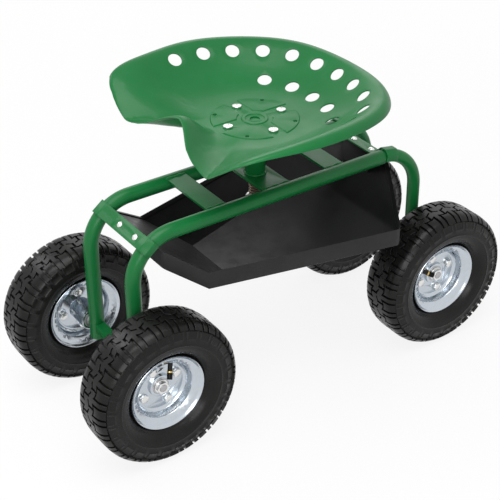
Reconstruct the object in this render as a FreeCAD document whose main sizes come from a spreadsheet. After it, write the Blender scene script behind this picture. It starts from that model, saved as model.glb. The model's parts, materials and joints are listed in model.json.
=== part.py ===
"""Rolling garden seat: a pressed steel pan seat on a screw post, on a four-wheeled tube frame with a tool tray.

Millimetres. +Z is up and the origin is on the ground, midway between the four wheels.
-X is the front, the way the seat faces, so the sitter's left is -Y and right is +Y.
"""
import FreeCAD, Part
import math
import os
import re

import Sketcher

# Driving sizes: name, value, meaning
SIZES = [
    ("wheel_base", 566.0, "front axle to rear axle"),
    ("wheel_track", 267.5, "between the middle planes of the left and right wheels"),
    ("tyre_diameter", 254.0, "outside, over the tread"),
    ("tyre_width", 84.0, "widest, across the side walls"),
    ("tread_width", 56.0, "across the crown, shoulder to shoulder"),
    ("tread_groove", 5.0, "depth of the tread grooves"),
    ("groove_width", 4.0, "width of the tread grooves"),
    ("lug_count", 26.0, "shoulder lugs round each side of a tyre"),
    ("tyre_wall", 5.0, "rubber at the side walls"),
    ("bead_seat", 51.0, "radius of the rim barrel where the tyre beads sit"),
    ("rim_flange", 65.3, "outside radius of the rim lip"),
    ("rim_depth", 28.0, "from the wheel's middle plane to the rim lip"),
    ("rim_sheet", 2.0, "pressed steel of the rim halves"),
    ("rim_disc", 43.0, "radius of the flat middle of a rim half"),
    ("hub_diameter", 38.0, "outside of the hub tube"),
    ("hub_inboard", 50.0, "hub tube, from the middle plane towards the frame"),
    ("hub_outboard", 5.0, "hub tube, from the middle plane outwards"),
    ("hub_flange", 41.0, "radius of the flange that the rim halves are bolted to"),
    ("hub_flange_sheet", 3.0, "thickness of that flange"),
    ("bearing_diameter", 28.6, "outside of a hub bearing"),
    ("bearing_width", 8.0, "width of a hub bearing"),
    ("rim_bolt_circle", 66.0, "diameter of the circle of rim bolts"),
    ("rim_bolt", 8.0, "rim bolt shank"),
    ("rim_bolt_flats", 13.0, "across the flats of a rim bolt's head and nut"),
    ("rim_bolt_head", 5.3, "height of a rim bolt's head"),
    ("rim_nut", 6.5, "height of a rim bolt's nut"),
    ("valve_stem", 8.0, "rubber valve stem"),
    ("valve_length", 25.0, "stem, from the tube to the cap"),
    ("valve_tilt", 24.0, "stem's lean outwards, in degrees from straight at the axle"),
    ("valve_cap", 9.0, "valve cap diameter"),
    ("valve_cap_length", 12.0, "valve cap"),
    ("axle_diameter", 12.7, "axle rod"),
    ("axle_end", 9.0, "axle rod, past the hub's outer end"),
    ("axle_fit", 0.05, "radial clearance of a running fit"),
    ("wheel_play", 0.3, "end play at either end of a hub"),
    ("leg_gap", 4.05, "between a front leg and the hub beside it"),
    ("axle_beam", 16.0, "square tube between the legs"),
    ("axle_beam_wall", 1.55, "wall of that tube"),
    ("axle_washer", 24.0, "washer outside each hub"),
    ("axle_washer_sheet", 1.6, "its thickness"),
    ("axle_nut_flats", 19.0, "lock nut across its flats"),
    ("axle_nut", 6.4, "lock nut height"),
    ("axle_spacer", 20.0, "spacer between leg and hub, outside diameter"),
    ("rail_height", 351.5, "middle of the rails above the ground"),
    ("rail_tube", 25.4, "rail and front leg tube"),
    ("tube_wall", 1.5, "wall of the frame tubes"),
    ("rail_end", 207.0, "open rear end of the rails, behind the middle"),
    ("leg_tube", 22.2, "rear leg tube, which plugs into the rail"),
    ("leg_insert", 60.0, "rear leg tube inside the rail"),
    ("bend_radius", 75.0, "middle line of the tube bends"),
    ("leg_below_axle", 23.0, "legs, below the axle"),
    ("weld_gap", 0.05, "air left between pieces that are welded"),
    ("strap_width", 25.0, "end straps along the tube"),
    ("strap_sheet", 2.5, "end strap steel"),
    ("strap_slope", 27.0, "lower fold of an end strap, in from the middle of the tube"),
    ("strap_dip", 20.0, "that flat, below the tops of the tubes"),
    ("strap_wrap", 18.0, "strap down the outside of the tube"),
    ("strap_bend", 3.0, "bend radius of the strap's middle line"),
    ("front_strap_angle", 37.5, "place of the front strap round the bend, in degrees"),
    ("rear_strap_angle", 10.0, "place of the rear strap round the bend, in degrees"),
    ("tray_bolt_inset", 16.0, "tray bolts, in from the lower folds of the strap"),
    ("tray_bolt", 6.0, "tray bolt shank"),
    ("tray_bolt_head", 12.0, "tray bolt's dome head"),
    ("tray_bolt_dome", 3.5, "height of that head"),
    ("tray_bolt_flats", 10.0, "tray nut across its flats"),
    ("tray_nut", 5.0, "tray nut height"),
    ("cross_strap_width", 36.0, "flat bars across the rails"),
    ("cross_strap_sheet", 4.0, "their thickness"),
    ("cross_level", 10.5, "top of the cross straps above the middle of the rails"),
    ("front_cross_place", -122.0, "front cross strap, along X"),
    ("rear_cross_place", 112.0, "rear cross strap, along X"),
    ("seat_place", -6.0, "seat post, along X"),
    ("seat_plate_width", 52.0, "plate that carries the post, along X"),
    ("seat_plate_sheet", 5.0, "its thickness"),
    ("socket_diameter", 34.0, "threaded socket welded on the plate"),
    ("seat_drop", 20.0, "screwed down from the height drawn here"),
    ("seat_raise", 40.0, "screwed up from the height drawn here"),
    ("travel_gap", 1.0, "left at either end of that travel"),
    ("screw_diameter", 22.0, "screw post, over the thread"),
    ("screw_play", 0.3, "radial play of the screw in its socket"),
    ("stop_washer", 32.0, "washer at the screw's foot"),
    ("stop_washer_sheet", 2.5, "its thickness"),
    ("stop_bolt", 8.0, "bolt that keeps the stop washer"),
    ("stop_bolt_length", 25.0, "its shank inside the screw"),
    ("stop_bolt_flats", 13.0, "across the flats of its head"),
    ("stop_bolt_head", 5.3, "height of its head"),
    ("seat_height", 458.0, "top of the seat pan's middle above the ground"),
    ("seat_sheet", 2.0, "pressed steel of the pan"),
    ("mount_plate_side", 100.0, "square plate under the pan, standing on its corner"),
    ("mount_plate_sheet", 5.0, "its thickness"),
    ("mount_plate_corner", 12.0, "its corner radius"),
    ("seat_bolt_circle", 104.0, "circle of the four seat bolts"),
    ("seat_bolt", 8.0, "seat bolt shank"),
    ("seat_bolt_head", 16.0, "seat bolt's round head"),
    ("seat_bolt_height", 4.0, "height of that head"),
    ("seat_bolt_crown", 1.2, "rise of its top, within that height"),
    ("seat_bolt_flats", 13.0, "seat nut across its flats"),
    ("seat_nut", 6.5, "seat nut height"),
    ("pan_width", 406.0, "seat pan, between the crests of its sides"),
    ("pan_back", 191.0, "crest of the pan's back, behind the post"),
    ("pan_front", 166.0, "crest of the pan's front, ahead of the post"),
    ("pan_side", 61.0, "crests of the pan's sides, above its middle"),
    ("pan_roll", 16.0, "radius of the rolled rim at the back and sides"),
    ("pan_roll_turn", 80.0, "degrees that this rim is rolled over"),
    ("pan_lip", 6.0, "radius of the rolled rim at the front"),
    ("pan_lip_turn", 50.0, "degrees that the front is rolled over"),
    ("thigh_dip", 6.0, "hollows for the thighs, below the pan's middle"),
    ("pan_hole", 16.0, "hole in the middle of the pan"),
    ("pan_flat", 74.0, "radius of the pan's flat middle"),
    ("pan_emboss", 1.6, "height of the pressed pads on the flat"),
    ("pan_emboss_slope", 1.2, "slope round the top of those pads"),
    ("pan_channel", 26.0, "width of the channels between those pads"),
    ("pan_ring", 44.0, "pressed ring round the middle hole"),
    ("pan_ring_width", 7.0, "width of that ring, and of the groove round it"),
    ("spare_hole", 7.0, "four spare bolt holes in the pads"),
    ("spare_circle", 132.0, "circle of those holes"),
    ("vent_hole", 24.0, "round holes in the dish"),
    ("outer_vents", 13.0, "holes in the outer row"),
    ("outer_vent_inset", 26.0, "outer row, in from the crest of the rim"),
    ("outer_vent_step", 17.0, "outer row, degrees from hole to hole"),
    ("inner_vents", 5.0, "holes in the inner row"),
    ("inner_vent_inset", 76.0, "inner row, in from the crest of the rim"),
    ("inner_vent_step", 24.0, "inner row, degrees from hole to hole"),
    ("tray_floor", 229.0, "top of the tray's floor above the ground"),
    ("floor_front", 104.0, "front edge of the floor, ahead of the middle"),
    ("floor_front_half", 45.0, "half width of the floor at the front"),
    ("floor_rear", 62.0, "rear edge of the floor, behind the middle"),
    ("floor_rear_half", 100.0, "half width of the floor at the rear"),
    ("front_run", 1.362, "front panel of the tray: run for each unit of rise"),
    ("front_flare", 1.298, "front corners of the tray: run to the side for each unit of rise"),
    ("rear_run", 1.754, "rear panel: run for each unit of rise"),
    ("rear_flare", 1.566, "rear corners: run to the side for each unit of rise"),
    ("tray_front", 235.0, "front end of the tray, ahead of the middle"),
    ("tray_front_half", 80.0, "half width of that end"),
    ("tray_waist", 168.0, "front corners of the long sides, ahead of the middle"),
    ("tray_waist_half", 106.0, "half width there"),
    ("tray_hip", 157.0, "widest corners, behind the middle"),
    ("tray_hip_half", 185.0, "half width there"),
    ("tray_rear", 232.0, "rear end of the tray, behind the middle"),
    ("tray_rear_half", 57.0, "half width of that end"),
    ("tray_wall", 3.5, "plastic of the tray, measured upright"),
    ("tray_skirt", 28.0, "skirt round the tray's edge"),
    ("tray_bead", 2.5, "bead along the tray's edge"),
    ("tray_bead_width", 6.0, "width of that bead"),
    ("tray_lip", 3.0, "lips that the tray hangs from"),
    ("tray_lip_inset", 4.0, "those lips, in from the lower folds of the strap"),
    ("tray_front_round", 8.0, "corners of the tray's front end"),
    ("tray_waist_round", 24.0, "front corners of its long sides"),
    ("tray_hip_round", 14.0, "its widest corners"),
    ("tray_rear_round", 12.0, "corners of its rear end"),
]

doc = FreeCAD.newDocument("RollingGardenSeat")
sheet = doc.addObject("Spreadsheet::Sheet", "Sizes")
for row, (alias, number, meaning) in enumerate(SIZES, start=1):
    sheet.set(f"A{row}", meaning)
    sheet.set(f"B{row}", str(number))
    sheet.setAlias(f"B{row}", alias)
doc.recompute()

ALIASES = {alias for alias, _, _ in SIZES}
UPRIGHT = FreeCAD.Vector(0, 0, 1)
FORE_AND_AFT = FreeCAD.Vector(1, 0, 0)
CROSSWISE = FreeCAD.Vector(0, 1, 0)
SUBPARTS = []

# Places worked out from the driving sizes
AXLE_HEIGHT = "(tyre_diameter / 2)"
BEND_START = "(wheel_base / 2 - bend_radius)"
BEND_HEIGHT = "(rail_height - bend_radius)"
LEG_END = "(tyre_diameter / 2 - leg_below_axle)"
CROSS_TOP = "(rail_height + cross_level)"
HUB_INNER = "(wheel_track / 2 - hub_inboard)"
HUB_OUTER = "(wheel_track / 2 + hub_outboard)"
MOUNT_UNDERSIDE = "(seat_height - seat_sheet - mount_plate_sheet)"
SOCKET_TOP = "(seat_height - seat_sheet - mount_plate_sheet - seat_drop - travel_gap)"
SCREW_FOOT = "(rail_height + cross_level - seat_plate_sheet - seat_raise - travel_gap)"
CROWN = "(tyre_diameter / 2)"
RAIL_SPACING = "(wheel_track - 2 * hub_inboard - rail_tube - 2 * leg_gap)"
STRAP_FOLD = f"({RAIL_SPACING} / 2 - strap_slope)"
TRAY_BOLT_PLACE = f"({STRAP_FOLD} - tray_bolt_inset)"
TRAY_LIP_HALF = f"({STRAP_FOLD} - tray_lip_inset)"


def bind(text):
    """Write a formula of size names as an expression on the sheet."""
    return re.sub(r"[a-z_]+", lambda word: f"Sizes.{word[0]}" if word[0] in ALIASES else word[0], str(text))


def value(text):
    """The number that a formula of size names gives."""
    return float(sheet.evalExpression(bind(text)))


def place(item, x="0", y="0", z="0", axis=UPRIGHT, angle="0"):
    """Set an object's place and turn from formulas."""
    item.Placement = FreeCAD.Placement(FreeCAD.Vector(), FreeCAD.Rotation(axis, value(angle)))
    for name, text in (("x", x), ("y", y), ("z", z)):
        item.setExpression(f"Placement.Base.{name}", bind(text))
    return item


def subpart(item, label):
    """Name a finished piece: its label is its node and its file."""
    item.Label = label
    SUBPARTS.append(item)
    return item


def new_body(name):
    return doc.addObject("PartDesign::Body", name)


def new_sketch(body, plane, offset="0"):
    """A sketch on one of the body's own planes, moved along the plane's normal."""
    sketch = body.newObject("Sketcher::SketchObject", "Sketch")
    planes = {feature.Role: feature for feature in body.Origin.OriginFeatures}
    sketch.AttachmentSupport = [(planes[plane + "_Plane"], "")]
    sketch.MapMode = "FlatFace"
    sketch.setExpression("AttachmentOffset.Base.z", bind(offset))
    return sketch


def pin_point(sketch, point, x, y, bindings):
    """Hold a point of the sketch at formulas of the sheet."""
    first = sketch.addConstraint([
        Sketcher.Constraint("DistanceX", -1, 1, point, 1, value(x)),
        Sketcher.Constraint("DistanceY", -1, 1, point, 1, value(y)),
    ])[0]
    bindings += [(first, x), (first + 1, y)]


def rounded_arc(before, corner, after, radius):
    """The arc that rounds a corner, with its ends on the two sides, and whether it runs backwards."""
    inward = (before - corner).normalize()
    outward = (after - corner).normalize()
    half = inward.getAngle(outward) / 2
    reach = radius / math.tan(half)
    middle = corner + (inward + outward).normalize() * (radius / math.sin(half))
    start, end = corner + inward * reach, corner + outward * reach
    backwards = (start - middle).cross(end - middle).z < 0
    first, last = (end, start) if backwards else (start, end)
    angles = [math.atan2((p - middle).y, (p - middle).x) for p in (first, last)]
    circle = Part.Circle(middle, UPRIGHT, radius)
    return Part.ArcOfCircle(circle, angles[0], angles[1]), start, end, backwards


def draw_outline(sketch, corners, closed=True):
    """Straight sides through the corners (x, y, radius); a corner with a radius is rounded."""
    spots = [FreeCAD.Vector(value(c[0]), value(c[1]), 0) for c in corners]
    count = len(spots)
    bindings = []
    points = []
    for spot, corner in zip(spots, corners):
        points.append(sketch.addGeometry(Part.Point(spot), True))
        pin_point(sketch, points[-1], corner[0], corner[1], bindings)
    arcs = {}
    for i, corner in enumerate(corners):
        if len(corner) > 2:
            arc, start, end, backwards = rounded_arc(
                spots[i - 1], spots[i], spots[(i + 1) % count], value(corner[2]))
            arcs[i] = (sketch.addGeometry(arc, False), start, end, backwards)
    sides = {}
    for i in range(count if closed else count - 1):
        j = (i + 1) % count
        start = arcs[i][2] if i in arcs else spots[i]
        end = arcs[j][1] if j in arcs else spots[j]
        sides[i] = sketch.addGeometry(Part.LineSegment(start, end), False)
    rules = []
    for i in range(count):
        arriving, leaving = sides.get((i - 1) % count), sides.get(i)
        if not closed and i == 0:
            arriving = None
        if i in arcs:
            arc, _, _, backwards = arcs[i]
            first, last = (2, 1) if backwards else (1, 2)
            rules += [
                Sketcher.Constraint("Tangent", arriving, 2, arc, first),
                Sketcher.Constraint("Tangent", arc, last, leaving, 1),
                Sketcher.Constraint("PointOnObject", points[i], 1, arriving),
                Sketcher.Constraint("PointOnObject", points[i], 1, leaving),
            ]
        else:
            if arriving is not None:
                rules.append(Sketcher.Constraint("Coincident", arriving, 2, points[i], 1))
            if leaving is not None:
                rules.append(Sketcher.Constraint("Coincident", leaving, 1, points[i], 1))
    sketch.addConstraint(rules)
    for i, (arc, _, _, _) in arcs.items():
        number = sketch.addConstraint(Sketcher.Constraint("Radius", arc, value(corners[i][2])))
        bindings.append((number, corners[i][2]))
    for number, text in bindings:
        sketch.setExpression(f"Constraints[{number}]", bind(text))
    return sketch


def draw_circle(sketch, x, y, diameter):
    """A circle whose middle and diameter are formulas."""
    middle = FreeCAD.Vector(value(x), value(y), 0)
    circle = sketch.addGeometry(Part.Circle(middle, UPRIGHT, value(diameter) / 2), False)
    first = sketch.addConstraint([
        Sketcher.Constraint("DistanceX", -1, 1, circle, 3, value(x)),
        Sketcher.Constraint("DistanceY", -1, 1, circle, 3, value(y)),
        Sketcher.Constraint("Diameter", circle, value(diameter)),
    ])[0]
    for number, text in enumerate((x, y, diameter), start=first):
        sketch.setExpression(f"Constraints[{number}]", bind(text))
    return sketch


def mirrored(half):
    """Corners of one side, followed by the same corners mirrored in the sketch's X axis."""
    other = [(c[0], f"-({c[1]})", *c[2:]) for c in reversed(half)]
    return half + other


def turned(label, corners, *loops):
    """A piece turned about the Y axis from a profile of radius and place along the axle."""
    body = new_body(label)
    sketch = new_sketch(body, "XY")
    for loop in (corners, *loops):
        draw_outline(sketch, loop)
    turn = body.newObject("PartDesign::Revolution", "Turned")
    turn.Profile = sketch
    turn.ReferenceAxis = (sketch, ["V_Axis"])
    turn.Angle = 360
    return body


def swept(profile, spine):
    """A profile carried along a path of straight runs and bends."""
    body = profile.getParentGeoFeatureGroup()
    sweep = body.newObject("PartDesign::AdditivePipe", "Swept")
    sweep.Profile = profile
    sweep.Spine = spine
    return body


def drill(body, plane, circles):
    """Round holes right through a body, square to one of its planes."""
    sketch = new_sketch(body, plane)
    for circle in circles:
        draw_circle(sketch, *circle)
    pocket = body.newObject("PartDesign::Pocket", "Drilled")
    pocket.Profile = sketch
    pocket.Type = "ThroughAll"
    pocket.Midplane = True
    return body


def cylinder(diameter, height, x="0", y="0", z="0", axis=UPRIGHT, angle="0"):
    """A plain cylinder standing on its place, leaning about an axis."""
    item = doc.addObject("Part::Cylinder", "Round")
    item.setExpression("Radius", bind(f"({diameter}) / 2"))
    item.setExpression("Height", bind(height))
    return place(item, x, y, z, axis, angle)


def lying(diameter, x, z, start, end):
    """A cylinder along Y from start to end."""
    return cylinder(diameter, f"({end}) - ({start})", x, start, z, FORE_AND_AFT, "-90")


def block(x_size, y_size, z_size, x, y, z):
    """A box given by its sizes and its lowest corner."""
    item = doc.addObject("Part::Box", "Block")
    for name, text in (("Length", x_size), ("Width", y_size), ("Height", z_size)):
        item.setExpression(name, bind(text))
    return place(item, x, y, z)


def hexagon(flats, height, x="0", y="0", z="0", axis=UPRIGHT, angle="0"):
    """A hexagon bar, given across its flats."""
    item = doc.addObject("Part::Prism", "Hexagon")
    item.Polygon = 6
    item.setExpression("Circumradius", bind(f"({flats}) / sqrt(3)"))
    item.setExpression("Height", bind(height))
    return place(item, x, y, z, axis, angle)


def joined(*pieces):
    item = doc.addObject("Part::MultiFuse", "Joined")
    item.Shapes = list(pieces)
    item.Refine = True
    return item


def less(base, *tools):
    item = doc.addObject("Part::Cut", "Less")
    item.Base = base
    item.Tool = tools[0] if len(tools) == 1 else joined(*tools)
    return item


def shared(first, second):
    item = doc.addObject("Part::Common", "Shared")
    item.Base = first
    item.Tool = second
    return item


def group(*pieces):
    """Separate pieces kept together as one node."""
    item = doc.addObject("Part::Compound", "Group")
    item.Links = list(pieces)
    return item


# Frame tubes
def side_rail(side, sign):
    """One tube: a level rail that bends down into the front leg, drilled for the axle."""
    body = new_body("rail")
    spine = draw_outline(new_sketch(body, "XZ"), [
        ("rail_end", "rail_height"),
        ("-wheel_base / 2", "rail_height", "bend_radius"),
        ("-wheel_base / 2", LEG_END),
    ], closed=False)
    profile = new_sketch(body, "YZ", "rail_end")
    draw_circle(profile, "0", "rail_height", "rail_tube")
    draw_circle(profile, "0", "rail_height", "rail_tube - 2 * tube_wall")
    swept(profile, spine)
    drill(body, "XZ", [("-wheel_base / 2", AXLE_HEIGHT, "axle_diameter + 2 * axle_fit")])
    subpart(place(body, y=f"{sign} * {RAIL_SPACING} / 2"), f"{side}_rail")


def rear_leg(side, sign):
    """A thinner tube that plugs into the rail and bends down into the rear leg."""
    body = new_body("rear_leg")
    start = "rail_end - leg_insert"
    spine = draw_outline(new_sketch(body, "XZ"), [
        (start, "rail_height"),
        ("wheel_base / 2", "rail_height", "bend_radius"),
        ("wheel_base / 2", LEG_END),
    ], closed=False)
    profile = new_sketch(body, "YZ", start)
    draw_circle(profile, "0", "rail_height", "leg_tube")
    draw_circle(profile, "0", "rail_height", "leg_tube - 2 * tube_wall")
    swept(profile, spine)
    drill(body, "XZ", [("wheel_base / 2", AXLE_HEIGHT, "axle_diameter + 2 * axle_fit")])
    subpart(place(body, y=f"{sign} * {RAIL_SPACING} / 2"), f"{side}_rear_leg")


class Strap:
    """Where an end strap sits: on the outside of the bends, square to them."""

    def __init__(self, end, sign, tube):
        self.end, self.sign, self.tube = end, sign, tube
        self.angle = f"{end}_strap_angle"
        reach = f"(bend_radius + {tube} / 2 + weld_gap)"
        self.x = f"{sign} * ({BEND_START} + {reach} * sin({self.angle}))"
        self.z = f"{BEND_HEIGHT} + {reach} * cos({self.angle})"
        self.axis = CROSSWISE * sign

    def seat(self, item):
        """Put a piece drawn on the strap's own level (its Z axis out of the bend) where the strap is."""
        place(item, self.x, "0", self.z, self.axis, self.angle)
        return item


def end_strap(strap):
    """A flat strap over both tubes, folded down between them to a flat that carries the tray."""
    body = new_body("strap")
    half = "strap_sheet / 2"
    radius = f"({strap.tube} / 2)"
    outside = f"({RAIL_SPACING} / 2 + {radius} + weld_gap + {half})"
    facet = f"({radius} * tan(22.5))"
    wrap = [
        (outside, f"{half} - strap_wrap"),
        (outside, f"{facet} - {radius} + {half}", "strap_bend"),
        (f"{RAIL_SPACING} / 2 + {facet}", half, "strap_bend"),
        (f"{RAIL_SPACING} / 2 - {facet} - strap_sheet", half, "strap_bend"),
        (STRAP_FOLD, f"{half} - strap_dip", "strap_bend"),
    ]
    other = [(f"-({c[0]})", *c[1:]) for c in reversed(wrap)]
    spine = draw_outline(new_sketch(body, "YZ"), wrap + other, closed=False)
    profile = new_sketch(body, "XY", f"{half} - strap_wrap")
    draw_outline(profile, [
        ("-strap_width / 2", f"{outside} - {half}"), ("strap_width / 2", f"{outside} - {half}"),
        ("strap_width / 2", f"{outside} + {half}"), ("-strap_width / 2", f"{outside} + {half}"),
    ])
    swept(profile, spine)
    bolts = [("0", f"{sign} * {TRAY_BOLT_PLACE}", "tray_bolt + 2 * screw_play") for sign in (-1, 1)]
    drill(body, "XY", bolts)
    subpart(strap.seat(body), f"{strap.end}_end_strap")


def cross_bar(label, x, width, sheet_size, *more_tools):
    """A flat bar between the rails, its ends shaped to the tubes."""
    bar = block(width, RAIL_SPACING, sheet_size,
                f"{x} - ({width}) / 2", f"-{RAIL_SPACING} / 2", f"{CROSS_TOP} - {sheet_size}")
    tubes = []
    for sign in (-1, 1):
        tube = cylinder("rail_tube + 2 * weld_gap", width, f"{x} - ({width}) / 2",
                        f"{sign} * {RAIL_SPACING} / 2", "rail_height", CROSSWISE, "90")
        tubes.append(tube)
    subpart(less(bar, *tubes, *more_tools), label)


def frame_tops():
    """The two cross straps, and the seat plate with its threaded socket."""
    cross_bar("front_cross_strap", "front_cross_place", "cross_strap_width", "cross_strap_sheet")
    cross_bar("rear_cross_strap", "rear_cross_place", "cross_strap_width", "cross_strap_sheet")
    bore = "screw_diameter + 2 * screw_play"
    cross_bar("seat_plate", "seat_place", "seat_plate_width", "seat_plate_sheet",
              cylinder(bore, "seat_plate_sheet", "seat_place", "0", f"{CROSS_TOP} - seat_plate_sheet"))
    height = f"{SOCKET_TOP} - {CROSS_TOP}"
    socket = less(cylinder("socket_diameter", height, "seat_place", "0", CROSS_TOP),
                  cylinder(bore, height, "seat_place", "0", CROSS_TOP))
    subpart(socket, "post_socket")


# Axles
def axle(end, sign, tube):
    """A square tube between the legs, and the round axle rod that runs through it and the legs."""
    x = f"{sign} * wheel_base / 2"
    half = "axle_beam / 2"
    bore = "(axle_beam - 2 * axle_beam_wall)"
    beam = block("axle_beam", RAIL_SPACING, "axle_beam",
                 f"{x} - {half}", f"-{RAIL_SPACING} / 2", f"{AXLE_HEIGHT} - {half}")
    inside = block(bore, RAIL_SPACING, bore,
                   f"{x} - {bore} / 2", f"-{RAIL_SPACING} / 2", f"{AXLE_HEIGHT} - {bore} / 2")
    legs = [cylinder(f"{tube} + 2 * weld_gap", "axle_beam", x, f"{y} * {RAIL_SPACING} / 2",
                     f"{AXLE_HEIGHT} - {half}") for y in (-1, 1)]
    subpart(less(beam, inside, *legs), f"{end}_axle_beam")
    reach = f"({HUB_OUTER} + axle_end)"
    subpart(lying("axle_diameter", x, AXLE_HEIGHT, f"-{reach}", reach), f"{end}_axle")


def axle_fittings():
    """Spacers between legs and hubs, and the washer and lock nut that keep each wheel on."""
    spacers, washers, nuts = [], [], []
    bore = "axle_diameter + 2 * axle_fit"
    washer = f"({HUB_OUTER} + wheel_play)"
    nut = f"({washer} + axle_washer_sheet)"
    for end, tube in ((-1, "rail_tube"), (1, "leg_tube")):
        leg = f"({RAIL_SPACING} / 2 + {tube} / 2)"
        x = f"{end} * wheel_base / 2"
        for side in (-1, 1):
            rings = (
                (spacers, leg, f"{HUB_INNER} - wheel_play", "axle_spacer"),
                (washers, washer, nut, "axle_washer"),
            )
            for kept, inner, outer, diameter in rings:
                start, stop = (inner, outer) if side > 0 else (f"-({outer})", f"-({inner})")
                kept.append(less(lying(diameter, x, AXLE_HEIGHT, start, stop),
                                 lying(bore, x, AXLE_HEIGHT, start, stop)))
            start = nut if side > 0 else f"-({nut} + axle_nut)"
            hexagon_bar = hexagon("axle_nut_flats", "axle_nut", x, start, AXLE_HEIGHT, FORE_AND_AFT, "-90")
            hole = lying(bore, x, AXLE_HEIGHT, start, f"{start} + axle_nut")
            nuts.append(less(hexagon_bar, hole))
    subpart(group(*spacers), "axle_spacers")
    subpart(group(*washers), "axle_washers")
    subpart(group(*nuts), "axle_lock_nuts")


# Tool tray
TRAY_RISE = "(rail_height + rail_tube - tray_floor)"


def tray_basin(drop):
    """The space above the tray's sloping panels, lowered by a drop: a floor that opens out upwards."""
    floor = [("-floor_front", "floor_front_half"), ("floor_rear", "floor_rear_half")]
    top = [
        (f"-floor_front - {TRAY_RISE} * front_run", f"floor_front_half + {TRAY_RISE} * front_flare"),
        (f"floor_rear + {TRAY_RISE} * rear_run", f"floor_rear_half + {TRAY_RISE} * rear_flare"),
    ]
    sections = []
    for level, (fore, aft) in (("tray_floor", floor), (f"tray_floor + {TRAY_RISE}", top)):
        sketch = doc.addObject("Sketcher::SketchObject", "Basin")
        draw_outline(sketch, [(fore[0], f"-({fore[1]})"), (aft[0], f"-({aft[1]})"), aft, fore])
        sections.append(place(sketch, z=f"{level} - ({drop})"))
    loft = doc.addObject("Part::Loft", "Basin")
    loft.Sections = sections
    loft.Solid = True
    loft.Ruled = True
    return loft


def tray_plan(inset):
    """An upright block with the tray's six-sided plan, drawn in from its edge by an inset."""
    sketch = doc.addObject("Sketcher::SketchObject", "Plan")
    half = [
        ("-tray_front", "tray_front_half", "tray_front_round"), ("-tray_waist", "tray_waist_half", "tray_waist_round"),
        ("tray_hip", "tray_hip_half", "tray_hip_round"), ("tray_rear", "tray_rear_half", "tray_rear_round"),
    ]
    draw_outline(sketch, mirrored(half)[::-1])
    base = sketch
    if inset != "0":
        base = doc.addObject("Part::Offset2D", "Inset")
        base.Source = sketch
        base.setExpression("Value", bind(f"-({inset})"))
        base.Join = "Intersection"
    solid = doc.addObject("Part::Extrusion", "PlanBlock")
    solid.Base = base
    solid.DirMode = "Custom"
    solid.Dir = UPRIGHT
    solid.setExpression("LengthFwd", bind("rail_height + 2 * rail_tube"))
    solid.Solid = True
    return solid


def tray_hanger(strap):
    """The lip bolted under an end strap, and the wall that drops from it into the sloping panel."""
    inner = "strap_width / 2 - tray_lip" if strap.sign < 0 else "-strap_width / 2"
    lip = block("strap_width", f"2 * {TRAY_LIP_HALF}", "tray_lip",
                "-strap_width / 2", f"-{TRAY_LIP_HALF}", "-strap_dip - tray_lip")
    wall = block("tray_lip", f"2 * {TRAY_LIP_HALF}", f"2 * {TRAY_LIP_HALF}",
                 inner, f"-{TRAY_LIP_HALF}", f"-strap_dip - 2 * {TRAY_LIP_HALF}")
    holes = [cylinder("tray_bolt + 2 * screw_play", "2 * tray_lip", "0",
                      f"{sign} * {TRAY_BOLT_PLACE}", "-strap_dip - 1.5 * tray_lip") for sign in (-1, 1)]
    return strap.seat(less(lip, *holes)), strap.seat(group(wall))


def tool_tray(*straps):
    """A moulded tray: sloping panels round a small floor, a skirt and a bead, hung by a lip at each end."""
    panels = shared(tray_basin("tray_wall"), tray_plan("0"))
    ring = less(tray_plan("0"), tray_plan("tray_wall"))
    skirt = shared(tray_basin("tray_skirt"), ring)
    hollow = joined(shared(tray_basin("0"), tray_plan("tray_bead_width")), tray_basin("-tray_bead"))
    pieces = [less(joined(panels, skirt), hollow)]
    for strap in straps:
        lip, wall = tray_hanger(strap)
        pieces += [lip, shared(wall, tray_basin("tray_wall"))]
    subpart(joined(*pieces), "tool_tray")


def round_head(diameter, height, crown, z):
    """A round bolt head standing at a level, with a crowned top."""
    ball = doc.addObject("Part::Sphere", "Ball")
    radius = f"({diameter} ^ 2 / 8 / {crown} + {crown} / 2)"
    ball.setExpression("Radius", bind(radius))
    place(ball, z=f"{z} + ({height}) - {radius}")
    return shared(cylinder(diameter, height, z=z), ball)


def screw_set(head, height, crown, shank, top, bottom, flats, nut, spots):
    """Round-headed bolts through a pack of sheets from top to bottom, and their nuts, at the spots."""
    bolts, nuts = [], []
    for x, y in spots:
        tail = f"{bottom} - {nut} - {shank} / 4"
        bolt = joined(round_head(head, height, crown, top), cylinder(shank, f"{top} - ({tail})", z=tail))
        bolts.append(place(bolt, x, y))
        washer_nut = less(hexagon(flats, nut, z=f"{bottom} - {nut}"),
                          cylinder(shank, f"2 * {nut}", z=f"{bottom} - 1.5 * {nut}"))
        nuts.append(place(washer_nut, x, y))
    return group(*bolts), group(*nuts)


def tray_screws(*straps):
    """The four bolts that hang the tray, with their nuts."""
    bolts, nuts = [], []
    for strap in straps:
        spots = [("0", f"{sign} * {TRAY_BOLT_PLACE}") for sign in (-1, 1)]
        pair = screw_set("tray_bolt_head", "tray_bolt_dome", "tray_bolt_dome", "tray_bolt",
                         "(strap_sheet - strap_dip)", "(-strap_dip - tray_lip)", "tray_bolt_flats",
                         "tray_nut", spots)
        bolts.append(strap.seat(pair[0]))
        nuts.append(strap.seat(pair[1]))
    subpart(group(*bolts), "tray_bolts")
    subpart(group(*nuts), "tray_nuts")


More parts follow.
